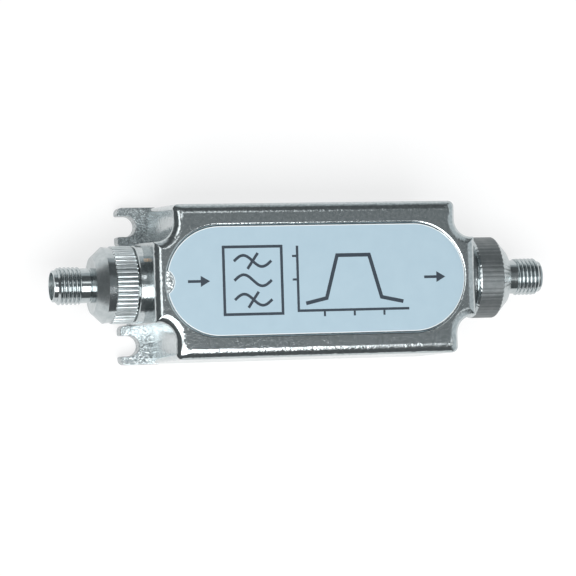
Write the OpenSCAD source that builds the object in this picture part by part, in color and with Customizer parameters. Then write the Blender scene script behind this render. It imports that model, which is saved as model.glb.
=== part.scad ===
// Inline band-pass filter in a die-cast box, with a screw-on coaxial adapter at each end.
// X runs along the connectors from input to output, Y across the box, Z up through the label.
// The origin is the centre of the back face. All sizes are in millimetres.

/* [Housing] */
// Height from the back face to the label face
housing_height = 20; // [18:0.5:23]
// Length between the shoulders, at the top of the walls
body_length = 48.9; // [44:0.5:60]
// Width of the body, at the top of the walls
body_width = 25.6; // [24.5:0.1:32]
// How far each neck stands out from its shoulder
neck_reach = 3.4; // [3:0.1:6]
// Width of each neck, at the top of the walls
neck_width = 13.3; // [12:0.1:14]
// Radius of the concave corner between neck and shoulder
neck_corner_r = 3; // [2:0.1:3]
// Radius of the rounded top edge
edge_r = 1.7; // [0.8:0.1:2.2]
// Draft of the outer walls, in degrees
draft_angle = 1.3; // [0.5:0.1:2]
// Thickness of the walls, at their top
wall_thickness = 1.8; // [1.4:0.1:2.2]
// Thickness of metal left under the label recess
roof_thickness = 1.6; // [1.2:0.1:2.2]
// Radius of the cavity's upright corners
cavity_corner_r = 1.2; // [0.5:0.1:2]
// Radius of the upright corners of the pocket in each neck
pocket_corner_r = 0.4; // [0.2:0.1:0.8]

/* [Mounting ears] */
// How far the ears stand out from the neck end, at the back face
ear_reach = 1.75; // [1.5:0.05:3]
// Thickness of the ears
ear_thickness = 2.8; // [2:0.1:3.2]
// Overall width across both ears
ear_span = 26.6; // [26.4:0.1:33]
// Clear gap between the two ears
ear_gap = 13.2; // [12:0.1:14]
// Radius of the ears' outer corners
ear_corner_r = 0.9; // [0.4:0.1:1.2]
// Width of each open slot
slot_width = 3.5; // [3:0.1:4]
// Distance between the centre lines of the two slots
slot_spacing = 20.2; // [19.8:0.1:21]
// Depth of each slot from the ear's end
slot_depth = 3.25; // [2.5:0.05:3.5]
// Radius of the rounding where the end walls meet the ears
ear_foot_r = 0.6; // [0.3:0.1:1]

/* [Label and recess] */
// Length of the recess
recess_length = 52.4; // [44:0.1:52.6]
// Width of the recess, which is also twice its end radius
recess_width = 18.8; // [16:0.1:19]
// Depth of the recess
recess_depth = 0.55; // [0.3:0.05:0.8]
// How much wider the sloped rim of the recess is at the top
recess_bevel = 0.3; // [0.1:0.05:0.4]
// Thickness of the label
label_thickness = 0.2; // [0.1:0.05:0.25]
// Gap between the label's edge and the foot of the rim
label_margin = 0.1; // [0.05:0.05:0.4]
// Radius of the half-round pad at the input end of the recess
pad_r = 2.1; // [1.5:0.1:2.5]
// How far the pad reaches into the recess
pad_reach = 1.25; // [0.8:0.05:1.5]
// Height of the pad above the recess floor
pad_height = 0.35; // [0.2:0.05:0.5]
// Diameter of the small pip on the pad
pip_d = 0.9; // [0.6:0.1:1.2]
// Height of the pip above the pad
pip_height = 0.15; // [0.05:0.05:0.2]
// Clearance of the label's notch round the pad
notch_clearance = 0.1; // [0.05:0.05:0.3]

/* [Ports] */
// Height of the connector axis above the back face
axis_height = 10; // [9.8:0.1:10.4]
// Diameter of the round boss on each neck
boss_d = 13; // [12.2:0.1:13.6]
// How far each boss face stands out from the neck end, at the top of the wall
boss_reach = 1.55; // [1.2:0.05:2.5]
// Outside diameter of each threaded port barrel
barrel_d = 9.5; // [9:0.05:9.7]
// Length of each port barrel beyond its boss
barrel_length = 6; // [5.4:0.1:6.2]
// Bore of each port barrel, where the insulator sits
port_bore_d = 6.4; // [6:0.1:6.8]
// Bore of the lip that keeps the insulator in
port_mouth_d = 5.2; // [4.6:0.1:5.6]
// Length of that lip along the axis
port_lip = 0.6; // [0.4:0.1:1]
// Thickness of the insulator's flange inside the neck
insulator_flange = 0.8; // [0.6:0.1:1.2]
// Outside diameter of the sprung port contact
port_contact_d = 2.2; // [2:0.1:2.6]
// Length of the sprung port contact
port_contact_length = 6.2; // [5:0.1:6.6]
// Depth of the contact's socket
port_socket_depth = 4.6; // [4:0.1:4.8]
// Gap between the adapter's pin and the bottom of that socket
pin_tip_gap = 0.2; // [0.1:0.1:0.5]
// Width of the contact's flat tail
tail_width = 1.2; // [0.8:0.1:1.6]
// Thickness of the contact's flat tail
tail_thickness = 0.5; // [0.3:0.05:0.6]
// Length of the tail that lies on the board
tail_on_board = 3; // [2:0.1:4]

/* [Input adapter] */
// Diameter over the input adapter's knurl
in_ring_d = 12.95; // [12.4:0.05:13.2]
// Length of the input adapter's knurl
in_knurl_length = 3.6; // [3:0.1:4.2]
// Length of the plain band after the knurl
in_band_length = 1.4; // [1.1:0.1:2]
// Diameter of the plain band
in_band_d = 12.75; // [12.2:0.05:12.9]
// Length of the input adapter's cone
in_cone_length = 1.8; // [1.4:0.1:2.4]
// Number of flutes in the input adapter's knurl
in_flutes = 50; // [36:1:56]

/* [Output adapter] */
// Diameter over the output adapter's knurl
out_ring_d = 13.9; // [13.4:0.05:14.4]
// Length of the output adapter's knurl
out_knurl_length = 4.4; // [4.2:0.1:5.2]
// Length of the output adapter's cone
out_cone_length = 2.05; // [1.6:0.05:2.6]
// Number of flutes in the output adapter's knurl
out_flutes = 54; // [40:1:60]

/* [Both adapters] */
// Depth of the knurl's flutes
flute_depth = 0.22; // [0.1:0.01:0.3]
// Width of each flute at the surface
flute_width = 0.34; // [0.2:0.01:0.4]
// Width of each flute at its bottom
flute_floor = 0.12; // [0.05:0.01:0.18]
// How far the flutes run on past the knurl's end
flute_runout = 0.1; // [0.05:0.05:0.2]
// Chamfer on the knurl's rim
ring_chamfer = 0.25; // [0.1:0.05:0.4]
// Diameter of the flat shoulder where the cone ends
shoulder_d = 9.6; // [8.8:0.1:10]
// Diameter of the plain neck behind the jack's thread
jack_neck_d = 5.8; // [5.6:0.05:6]
// Length of that plain neck
jack_neck_length = 2.1; // [1.6:0.1:2.6]
// Outside diameter of the jack's thread
jack_thread_d = 6.35; // [6.3:0.01:6.4]
// Length of the jack's thread
jack_thread_length = 3.5; // [3:0.1:4.5]
// Diameter of the pilot in front of the thread
jack_pilot_d = 5.3; // [5.2:0.05:5.5]
// Length of the pilot
jack_pilot_length = 1.1; // [0.8:0.05:1.4]
// Chamfer on the pilot's rim
pilot_chamfer = 0.2; // [0.1:0.05:0.3]
// Bore at the jack's mouth
jack_mouth_d = 4.6; // [4.4:0.05:4.7]
// Depth from the mouth to the dielectric
jack_mouth_depth = 1.9; // [1.5:0.05:2.1]
// Diameter of the white dielectric
dielectric_d = 4.1; // [3.9:0.05:4.2]
// Outside diameter of the centre contact's socket
socket_d = 1.27; // [1.2:0.01:1.4]
// Bore of the centre contact's socket
socket_bore_d = 0.93; // [0.9:0.01:0.98]
// Depth of that bore
socket_depth = 3; // [2:0.1:3.5]
// Length of the socket's four slots
socket_slot_length = 1.8; // [1:0.1:2]
// Width of the socket's four slots
socket_slot_width = 0.18; // [0.1:0.01:0.2]
// Diameter of the pin on the port side
pin_d = 1; // [0.8:0.05:1]
// Diameter of the bead that holds the pin
bead_d = 5.2; // [4.6:0.1:5.3]
// Thickness of the bead
bead_thickness = 0.6; // [0.4:0.05:0.7]

/* [Board and parts] */
// Thickness of the circuit board
board_thickness = 1; // [0.8:0.1:1.6]
// Width of the board's tongues in the necks
tongue_width = 6; // [4:0.1:7]
// Diameter of the four cast posts
post_d = 4; // [3.2:0.1:4.2]
// Distance from the cavity wall to the centre of each post
post_inset = 1.9; // [1.7:0.1:2]
// Shank diameter of the board screws
screw_d = 1.6; // [1.4:0.1:2]
// Length of the screws below their heads
screw_length = 4.5; // [3.5:0.1:5]
// Head diameter of the board screws
screw_head_d = 3.2; // [2.8:0.1:3.4]
// Head height of the board screws
screw_head_height = 1; // [0.7:0.1:1.3]
// Distance from one coil to the next
coil_pitch = 8.6; // [8:0.1:8.8]
// Wire diameter of the coils
wire_d = 0.8; // [0.6:0.05:0.9]
// Mean diameter of the coils
coil_mean_d = 4; // [3.4:0.1:4.4]
// Number of turns in each coil
coil_turns = 6; // [4:1:6]
// Gap between each coil and the board
coil_standoff = 0.4; // [0.2:0.1:0.8]
// Length of a chip capacitor
chip_length = 3.2; // [2:0.1:3.4]
// Width of a chip capacitor
chip_width = 1.6; // [1:0.1:1.8]
// Height of a chip capacitor
chip_height = 1.1; // [0.6:0.1:1.4]
// Length of a capacitor's metal end caps
chip_cap = 0.5; // [0.3:0.05:0.6]
// Distance from the centre line to each row of capacitors
chip_row = 5; // [4.6:0.1:5.4]
// Thickness of the screening partitions
partition_thickness = 0.4; // [0.3:0.05:0.6]
// Width of the partitions' solder tabs
tab_width = 2; // [1.5:0.1:3]
// Distance from the centre line to each solder tab
tab_offset = 6.5; // [5:0.1:7.5]

/* [Rear cover] */
// Thickness of the rear cover
cover_thickness = 0.8; // [0.5:0.05:1.2]
// Width of the ledge that the cover seats on
cover_ledge = 0.8; // [0.5:0.05:1]

/* [Fits] */
// Radial clearance between the adapter and the port barrel
thread_clearance = 0.08; // [0.05:0.01:0.12]
// Gap between each adapter's ring and the boss
ring_gap = 0.2; // [0.1:0.05:0.4]
// Radial clearance round insulators, dielectrics and beads
bush_clearance = 0.05; // [0.02:0.01:0.08]
// Radial clearance round pins in their sockets
pin_clearance = 0.05; // [0.02:0.01:0.06]
// Gap round the rear cover and the board
edge_clearance = 0.15; // [0.05:0.05:0.3]
// Radial clearance of screws, leads and tabs in their holes
hole_clearance = 0.1; // [0.05:0.05:0.15]

/* [Hidden] */
$fn = 64;
coil_count = 5;
row_count = 2;
sides = [-1, 1];
coil_numbers = [1:coil_count];
partition_numbers = [1:coil_count - 1];
chip_numbers = [1:coil_count * row_count];

// How far a solid reaches into one that it is fused with, or a cut runs past a face
overlap = 0.5;
// Half sizes of the box, measured at the top of the drafted walls
body_x = body_length / 2;
body_y = body_width / 2;
neck_x = body_x + neck_reach;
neck_y = neck_width / 2;
// Height at which the walls turn into the rounded edge, and how far they spread below it
wall_height = housing_height - edge_r;
base_spread = wall_height * tan(draft_angle);
// The plan centre of the concave corners, and how far a corner piece must reach to fill its square
corner_x = body_x + neck_corner_r;
corner_y = neck_y + neck_corner_r;
corner_fill = sqrt(2) * (neck_corner_r + edge_r) - neck_corner_r + 0.1;
// The cavity, its roof and the cover's seat
recess_floor = housing_height - recess_depth;
cavity_top = recess_floor - roof_thickness;
cavity_x = body_x - wall_thickness;
cavity_y = body_y - wall_thickness;
pocket_x = neck_x - wall_thickness;
pocket_y = neck_y - wall_thickness;
// Stations along each connector axis, measured from the middle of the box
boss_face = neck_x + boss_reach;
barrel_end = boss_face + barrel_length;
lip_start = barrel_end - port_lip;
// Board levels: the contact tails lie under its back face, the posts hold its front face
board_back = axis_height + pin_d / 2;
board_front = board_back + board_thickness;
board_x = cavity_x - edge_clearance;
board_y = cavity_y - edge_clearance;
tongue_x = pocket_x - insulator_flange - edge_clearance;
post_x = cavity_x - post_inset;
post_y = cavity_y - post_inset;
tail_end = tongue_x - tail_on_board;
// Ears
ear_end = neck_x + base_spread + ear_reach;
slot_r = slot_width / 2;
slot_centre_x = ear_end - slot_depth + slot_r;
slot_y = slot_spacing / 2;
// Coils
coil_z = board_back - coil_standoff - (coil_mean_d + wire_d) / 2;
turn_pitch = wire_d * 0.98;
coil_half = turn_pitch * (coil_turns - 1) / 2;
lead_end = board_front + 0.6;

function coil_x(i) = (i - (coil_count + 1) / 2) * coil_pitch;
function partition_x(i) = coil_x(i) + coil_pitch / 2;

// A rounded rectangle as a union of two bars and four circles
module rounded_rect(half_x, half_y, r) {
    square([2 * half_x - 2 * r, 2 * half_y], center = true);
    square([2 * half_x, 2 * half_y - 2 * r], center = true);
    for (sx = sides, sy = sides)
        translate([sx * (half_x - r), sy * (half_y - r)]) circle(r = r);
}

// A cross-shaped plan with a main rectangle and a neck at each end
module cross_plan(main_x, main_y, end_x, end_y) {
    rounded_rect(main_x, main_y, cavity_corner_r);
    rounded_rect(end_x, end_y, pocket_corner_r);
}

// A stadium, given its overall length and width
module stadium(length, width) {
    square([length - width, width], center = true);
    for (s = sides) translate([s * (length - width) / 2, 0]) circle(d = width);
}

// Full section across the box: drafted walls and a rounded edge on both sides
module box_section(half) {
    polygon([
        [-half - base_spread, 0], [half + base_spread, 0], [half, wall_height],
        [half - edge_r, housing_height], [-half + edge_r, housing_height], [-half, wall_height]
    ]);
    for (s = sides) translate([s * (half - edge_r), wall_height]) circle(r = edge_r);
}

// Section of one wall of a concave corner, with the wall face at radius neck_corner_r
module corner_section() {
    translate([neck_corner_r, 0]) {
        polygon([
            [-base_spread, 0], [corner_fill, 0], [corner_fill, housing_height],
            [edge_r, housing_height], [0, wall_height]
        ]);
        translate([edge_r, wall_height]) circle(r = edge_r);
    }
}

// The box section run along X
module along_x(half, length) {
    rotate([90, 0, 90]) linear_extrude(length, center = true) box_section(half);
}

// The box section run along Y
module along_y(half, length) {
    rotate([90, 0, 0]) linear_extrude(length, center = true) box_section(half);
}

// A block centred on X and Y that stands on the back face
module block(x, y, z) {
    translate([-x / 2, -y / 2, 0]) cube([x, y, z]);
}

// The two long sides of the body, outside the band that holds the necks
module side_bars() {
    bar = body_y + base_spread + 1 - corner_y;
    intersection() {
        along_x(body_y, 2 * (body_x + base_spread + 1));
        along_y(body_x, 2 * (body_y + base_spread + 1));
        for (s = sides)
            translate([0, s * (corner_y + bar / 2), 0])
                block(2 * (body_x + base_spread + 1), bar, housing_height + 1);
    }
}

// The middle band of the body, with both necks and their concave corners
module neck_band() {
    reach = 2 * (neck_x + base_spread + 1);
    intersection() {
        union() {
            block(2 * (body_x - edge_r), 2 * corner_y, housing_height);
            block(reach, 2 * (neck_y - edge_r), housing_height);
            intersection() {
                along_x(neck_y, reach);
                for (s = sides)
                    translate([s * (corner_x + reach / 4), 0, 0])
                        block(reach / 2, 2 * corner_y, housing_height + 1);
            }
            for (mx = [0, 1], my = [0, 1])
                mirror([mx, 0, 0]) mirror([0, my, 0])
                    translate([corner_x, corner_y, 0]) rotate([0, 0, 180])
                        rotate_extrude(angle = 90) corner_section();
        }
        along_y(neck_x, 2 * (corner_y + 1));
    }
}

// One end's boss and port barrel, turned about the connector axis
module port_outside() {
    rotate([0, 90, 0]) {
        translate([0, 0, neck_x - wall_thickness / 2])
            cylinder(d = boss_d, h = boss_face - neck_x + wall_thickness / 2);
        translate([0, 0, boss_face - overlap])
            cylinder(d = barrel_d, h = barrel_length + overlap - ring_chamfer);
        translate([0, 0, barrel_end - ring_chamfer])
            cylinder(d1 = barrel_d, d2 = barrel_d - 2 * ring_chamfer, h = ring_chamfer);
    }
}

// The stepped bore through one port
module port_bore() {
    rotate([0, 90, 0]) {
        translate([0, 0, pocket_x - overlap])
            cylinder(d = port_bore_d, h = lip_start - pocket_x + overlap);
        translate([0, 0, lip_start - overlap])
            cylinder(d = port_mouth_d, h = port_lip + 2 * overlap);
    }
}

// Runs its children at both ports: the output as drawn, the input mirrored
module both_ports() {
    for (m = [0, 1]) mirror([m, 0, 0]) translate([0, 0, axis_height]) children();
}

// Outline of both ears, with their open slots
module ears_plan() {
    root_x = body_x - overlap;
    ear_width = (ear_span - ear_gap) / 2;
    for (s = sides)
        translate([0, s * (ear_gap + ear_width) / 2])
            difference() {
                union() {
                    translate([-ear_end + ear_corner_r, -ear_width / 2])
                        square([ear_end - root_x - ear_corner_r, ear_width]);
                    translate([-ear_end, -ear_width / 2 + ear_corner_r])
                        square([2 * ear_corner_r, ear_width - 2 * ear_corner_r]);
                    for (c = sides)
                        translate([-ear_end + ear_corner_r, c * (ear_width / 2 - ear_corner_r)])
                            circle(r = ear_corner_r);
                }
                translate([0, s * (slot_y - (ear_gap + ear_width) / 2)]) {
                    translate([-slot_centre_x, 0]) circle(r = slot_r);
                    translate([-ear_end - 1, -slot_r])
                        square([ear_end + 1 - slot_centre_x, slot_width]);
                }
            }
}

// The cast fillet along the foot of each ear's wall
module ear_feet() {
    ear_width = (ear_span - ear_gap) / 2;
    foot = body_x + base_spread - ear_thickness * tan(draft_angle);
    for (s = sides)
        translate([0, s * (ear_gap + ear_width) / 2, 0]) rotate([90, 0, 0])
            linear_extrude(ear_width, center = true) difference() {
                translate([-foot - ear_foot_r, ear_thickness - overlap])
                    square([ear_foot_r + overlap, ear_foot_r + overlap]);
                translate([-foot - ear_foot_r, ear_thickness + ear_foot_r]) circle(r = ear_foot_r);
            }
}

// The recess with its sloped rim, as a cutter
module recess_cut() {
    straight = recess_length - recess_width;
    translate([0, 0, recess_floor]) {
        linear_extrude(recess_depth + 1) stadium(recess_length - 2 * recess_bevel,
                                                 recess_width - 2 * recess_bevel);
        for (s = sides)
            translate([s * straight / 2, 0, 0])
                cylinder(d1 = recess_width - 2 * recess_bevel, d2 = recess_width, h = recess_depth);
        rotate([90, 0, 90]) linear_extrude(straight, center = true)
            polygon([
                [-recess_width / 2 + recess_bevel, 0], [recess_width / 2 - recess_bevel, 0],
                [recess_width / 2, recess_depth], [-recess_width / 2, recess_depth]
            ]);
    }
}

// Plan position of the half-round pad and its circle
pad_x = recess_length / 2 - recess_bevel - pad_reach + pad_r;

// The raised half-round pad at the input end of the recess
module recess_pad() {
    translate([-pad_x, 0, recess_floor - overlap]) {
        intersection() {
            cylinder(r = pad_r, h = overlap + pad_height);
            translate([pad_r - pad_reach - overlap, -pad_r - 1, 0])
                cube([pad_reach + overlap + 1, 2 * pad_r + 2, overlap + pad_height]);
        }
        translate([pad_r - pad_reach / 2, 0, overlap])
            cylinder(d1 = pip_d, d2 = pip_d * 0.6, h = pad_height + pip_height);
    }
}

// Cavity, cover seat and post holes
module cavity_cut() {
    seat_x = cavity_x + cover_ledge;
    seat_y = cavity_y + cover_ledge;
    translate([0, 0, -1]) linear_extrude(cover_thickness + 1)
        cross_plan(seat_x, seat_y, pocket_x + cover_ledge, pocket_y + cover_ledge);
    difference() {
        linear_extrude(cavity_top)
            cross_plan(cavity_x, cavity_y, pocket_x, pocket_y);
        for (sx = sides, sy = sides)
            translate([sx * post_x, sy * post_y, board_front])
                difference() {
                    cylinder(d = post_d, h = cavity_top);
                    translate([0, 0, -1])
                        cylinder(d = screw_d + 2 * hole_clearance, h = screw_length - board_thickness + 1.5);
                }
    }
}

// Die-cast tub with necks, bosses, port barrels and ears
module housing() {
    color([0.72, 0.74, 0.75]) difference() {
        union() {
            difference() {
                union() {
                    side_bars();
                    neck_band();
                }
                recess_cut();
            }
            recess_pad();
            both_ports() port_outside();
            linear_extrude(ear_thickness) ears_plan();
            ear_feet();
        }
        cavity_cut();
        both_ports() port_bore();
    }
}

// Flat plate that closes the back
module rear_cover() {
    color([0.66, 0.68, 0.69]) linear_extrude(cover_thickness)
        cross_plan(cavity_x + cover_ledge - edge_clearance, cavity_y + cover_ledge - edge_clearance,
                   pocket_x + cover_ledge - edge_clearance, pocket_y + cover_ledge - edge_clearance);
}

// Self-adhesive sheet on the recess floor, with its notch round the pad
module label() {
    inset = recess_bevel + label_margin;
    color([0.74, 0.83, 0.89]) translate([0, 0, recess_floor]) linear_extrude(label_thickness)
        difference() {
            stadium(recess_length - 2 * inset, recess_width - 2 * inset);
            translate([-pad_x, 0]) circle(r = pad_r + notch_clearance);
        }
}

// Insulator of one port, from its flange inside the neck to the barrel's lip
module port_insulator() {
    contact_start = lip_start - port_contact_length;
    color([0.93, 0.92, 0.86]) rotate([0, 90, 0]) difference() {
        union() {
            translate([0, 0, pocket_x - insulator_flange])
                cylinder(r = pocket_y - pocket_corner_r - bush_clearance, h = insulator_flange);
            translate([0, 0, pocket_x - insulator_flange])
                cylinder(d = port_bore_d - 2 * bush_clearance, h = lip_start - pocket_x + insulator_flange);
        }
        translate([0, 0, pocket_x - insulator_flange - 1])
            cylinder(d = port_contact_d + 2 * bush_clearance,
                     h = lip_start - port_lip - pocket_x + insulator_flange + 1);
        translate([0, 0, contact_start])
            cylinder(d = pin_d + 6 * pin_clearance, h = port_contact_length + 1);
    }
}

// Sprung contact of one port, with the flat tail that lies under the board
module port_contact() {
    tip = lip_start - port_lip;
    start = tip - port_contact_length;
    color([0.83, 0.68, 0.35]) {
        difference() {
            rotate([0, 90, 0]) translate([0, 0, start])
                cylinder(d = port_contact_d, h = port_contact_length);
            rotate([0, 90, 0]) translate([0, 0, tip - port_socket_depth])
                cylinder(d = pin_d + 2 * pin_clearance, h = port_socket_depth + 1);
            translate([tip - port_socket_depth * 0.7, -port_contact_d, -flute_width / 2])
                cube([port_socket_depth, 2 * port_contact_d, flute_width]);
        }
        translate([tail_end, -tail_width / 2, pin_d / 2 - tail_thickness])
            cube([start + overlap - tail_end, tail_width, tail_thickness]);
    }
}

// Outline that leaves out a ring's flutes: each is a trapezoid notch, open towards the outside
module flute_outline(d, flutes) {
    floor_r = d / 2 - flute_depth;
    open_r = d / 2 + overlap;
    open_width = flute_floor + (flute_width - flute_floor) * (flute_depth + overlap) / flute_depth;
    function turned(x, y, a) = [x * cos(a) - y * sin(a), x * sin(a) + y * cos(a)];
    polygon([
        for (i = [0:flutes - 1])
            each [
                turned(open_r, -open_width / 2, i * 360 / flutes),
                turned(floor_r, -flute_floor / 2, i * 360 / flutes),
                turned(floor_r, flute_floor / 2, i * 360 / flutes),
                turned(open_r, open_width / 2, i * 360 / flutes)
            ]
    ]);
}

// Shell of one adapter along +Z, with z = 0 at the boss face
module adapter_shell(ring_d, knurl_length, flutes, band_length, band_d, cone_length) {
    band_start = ring_gap + knurl_length;
    cone_start = band_start + band_length;
    cone_end = cone_start + cone_length;
    thread_start = cone_end + jack_neck_length;
    pilot_start = thread_start + jack_thread_length;
    pilot_end = pilot_start + jack_pilot_length;
    flute_end = band_start + (band_length > 0 ? flute_runout : flute_depth + flute_runout);
    difference() {
        intersection() {
            rotate_extrude() polygon([
                [0, ring_gap], [ring_d / 2 - ring_chamfer, ring_gap], [ring_d / 2, ring_gap + ring_chamfer],
                [ring_d / 2, band_start - (ring_d - band_d) / 2],
                if (band_length > 0) each [[band_d / 2, band_start], [band_d / 2, cone_start]],
                [shoulder_d / 2, cone_end], [jack_neck_d / 2, cone_end],
                [jack_neck_d / 2, thread_start], [jack_thread_d / 2, thread_start],
                [jack_thread_d / 2, pilot_start], [jack_pilot_d / 2, pilot_start],
                [jack_pilot_d / 2, pilot_end - pilot_chamfer],
                [jack_pilot_d / 2 - pilot_chamfer, pilot_end], [0, pilot_end]
            ]);
            union() {
                linear_extrude(flute_end) flute_outline(ring_d, flutes);
                translate([0, 0, flute_end]) cylinder(d = ring_d + 2, h = pilot_end);
            }
        }
        translate([0, 0, -1]) cylinder(d = barrel_d + 2 * thread_clearance, h = barrel_length + 1);
        translate([0, 0, barrel_length - overlap])
            cylinder(d = bead_d + 2 * bush_clearance, h = bead_thickness + overlap);
        cylinder(d = dielectric_d + 2 * bush_clearance, h = pilot_end - jack_mouth_depth);
        translate([0, 0, pilot_end - jack_mouth_depth])
            cylinder(d = jack_mouth_d, h = jack_mouth_depth + 1);
    }
}

// Distance from the boss face to the jack's end, for a knurl, a band and a cone
function jack_end(knurl_length, band_length, cone_length) =
    ring_gap + knurl_length + band_length + cone_length
    + jack_neck_length + jack_thread_length + jack_pilot_length;
in_end = jack_end(in_knurl_length, in_band_length, in_cone_length);
out_end = jack_end(out_knurl_length, 0, out_cone_length);

// White dielectric of one jack, along +Z from the boss face
module jack_dielectric(end) {
    start = barrel_length + bead_thickness;
    translate([0, 0, start]) difference() {
        cylinder(d = dielectric_d, h = end - jack_mouth_depth - start);
        translate([0, 0, -1])
            cylinder(d = socket_d + 2 * pin_clearance, h = end - jack_mouth_depth - start + 2);
    }
}

// Centre contact of one adapter: slotted socket at the jack, pin at the port
module jack_contact(end) {
    start = barrel_length + bead_thickness;
    face = end - jack_mouth_depth;
    tip = barrel_length - 2 * port_lip - port_socket_depth + pin_tip_gap;
    difference() {
        union() {
            translate([0, 0, start]) cylinder(d = socket_d, h = face - start);
            translate([0, 0, tip + pin_d / 2]) cylinder(d = pin_d, h = start - tip);
            translate([0, 0, tip]) cylinder(d1 = pin_d / 2, d2 = pin_d, h = pin_d / 2);
        }
        translate([0, 0, face - socket_depth]) cylinder(d = socket_bore_d, h = socket_depth + 1);
        for (a = [0, 90])
            rotate([0, 0, a]) translate([-socket_d, -socket_slot_width / 2, face - socket_slot_length])
                cube([2 * socket_d, socket_slot_width, socket_slot_length + 1]);
    }
}

// Bead that holds the pin on the port side
module pin_bead() {
    translate([0, 0, barrel_length]) difference() {
        cylinder(d = bead_d, h = bead_thickness);
        translate([0, 0, -1]) cylinder(d = pin_d + 2 * pin_clearance, h = bead_thickness + 2);
    }
}

// Places a piece drawn along +Z from the boss face: side 1 is the output, side -1 the input
module at_port(side) {
    translate([side * boss_face, 0, axis_height]) rotate([0, side * 90, 0]) children();
}

module port_piece(side) {
    mirror([side < 0 ? 1 : 0, 0, 0]) translate([0, 0, axis_height]) children();
}

module adapter_in_body() {
    color([0.78, 0.80, 0.81]) at_port(-1)
        adapter_shell(in_ring_d, in_knurl_length, in_flutes, in_band_length, in_band_d, in_cone_length);
}

module adapter_out_body() {
    color([0.78, 0.80, 0.81]) at_port(1)
        adapter_shell(out_ring_d, out_knurl_length, out_flutes, 0, out_ring_d, out_cone_length);
}

module adapter_dielectric(side, end) {
    color([0.95, 0.95, 0.93]) at_port(side) jack_dielectric(end);
}

module adapter_contact(side, end) {
    color([0.86, 0.70, 0.36]) at_port(side) jack_contact(end);
}

module adapter_bead(side) {
    color([0.93, 0.92, 0.86]) at_port(side) pin_bead();
}

// Board with its tongues, lead holes, tab slots and screw holes
module circuit_board() {
    color([0.13, 0.42, 0.25]) translate([0, 0, board_back]) difference() {
        linear_extrude(board_thickness)
            cross_plan(board_x, board_y, tongue_x, tongue_width / 2);
        for (sx = sides, sy = sides)
            translate([sx * post_x, sy * post_y, -1])
                cylinder(d = screw_d + 2 * hole_clearance, h = board_thickness + 2);
        for (i = coil_numbers, s = sides)
            translate([coil_x(i) + coil_mean_d / 2, s * coil_half, -1])
                cylinder(d = wire_d + 2 * hole_clearance, h = board_thickness + 2);
        for (i = partition_numbers, s = sides)
            translate([partition_x(i), s * tab_offset, board_thickness / 2])
                cube([partition_thickness + 2 * hole_clearance, tab_width + 2 * hole_clearance,
                      board_thickness + 2], center = true);
    }
}

// Four pan-head screws from the board into the posts
module board_screws() {
    color([0.70, 0.71, 0.72]) for (sx = sides, sy = sides)
        translate([sx * post_x, sy * post_y, board_back]) {
            cylinder(d = screw_d, h = screw_length);
            translate([0, 0, -screw_head_height]) difference() {
                union() {
                    cylinder(d1 = screw_head_d * 0.75, d2 = screw_head_d, h = screw_head_height / 2);
                    translate([0, 0, screw_head_height / 2])
                        cylinder(d = screw_head_d, h = screw_head_height / 2);
                }
                translate([0, 0, screw_head_height * 0.2])
                    cube([screw_head_d * 0.6, screw_head_height * 0.25, screw_head_height * 0.8], center = true);
            }
        }
}

// Close-wound air-core coil with both leads through the board
module coil(i) {
    color([0.80, 0.45, 0.25]) translate([coil_x(i), 0, 0]) {
        for (t = [0:coil_turns - 1])
            translate([0, t * turn_pitch - coil_half, coil_z]) rotate([90, 0, 0])
                rotate_extrude() translate([coil_mean_d / 2, 0]) circle(d = wire_d);
        for (s = sides)
            translate([coil_mean_d / 2, s * coil_half, coil_z])
                cylinder(d = wire_d, h = lead_end - coil_z);
    }
}

// Chip capacitor with its two end caps, on the back face of the board
module capacitor(i) {
    column = floor((i - 1) / row_count) + 1;
    side = sides[(i - 1) % row_count];
    skin = 0.04;
    translate([coil_x(column), side * chip_row, board_back - chip_height / 2]) {
        color([0.62, 0.50, 0.38])
            cube([chip_length - 2 * skin, chip_width - 2 * skin, chip_height - 2 * skin], center = true);
        color([0.75, 0.76, 0.77]) for (s = sides)
            translate([s * (chip_length - chip_cap) / 2, 0, 0])
                cube([chip_cap, chip_width, chip_height], center = true);
    }
}

// Screening partition that hangs from the board, with two solder tabs through it
module partition(i) {
    low = cover_thickness + hole_clearance;
    half_width = cavity_y - edge_clearance;
    color([0.70, 0.71, 0.72]) translate([partition_x(i), 0, 0]) {
        translate([0, 0, (low + board_back) / 2])
            cube([partition_thickness, 2 * half_width, board_back - low], center = true);
        for (s = sides)
            translate([0, s * tab_offset, (board_back + lead_end) / 2 - overlap / 2])
                cube([partition_thickness, tab_width, lead_end - board_back + overlap], center = true);
    }
}

housing();
rear_cover();
label();
port_piece(-1) port_insulator();  // port_in_insulator
port_piece(1) port_insulator();  // port_out_insulator
port_piece(-1) port_contact();  // port_in_contact
port_piece(1) port_contact();  // port_out_contact
adapter_in_body();
adapter_out_body();
adapter_dielectric(-1, in_end);  // adapter_in_dielectric
adapter_dielectric(1, out_end);  // adapter_out_dielectric
adapter_contact(-1, in_end);  // adapter_in_contact
adapter_contact(1, out_end);  // adapter_out_contact
adapter_bead(-1);  // adapter_in_bead
adapter_bead(1);  // adapter_out_bead
circuit_board();
board_screws();
for (i = coil_numbers) coil(i);
for (i = chip_numbers) capacitor(i);
for (i = partition_numbers) partition(i);
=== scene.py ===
import math
import bmesh
import bpy
from mathutils import Matrix, Vector


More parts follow.
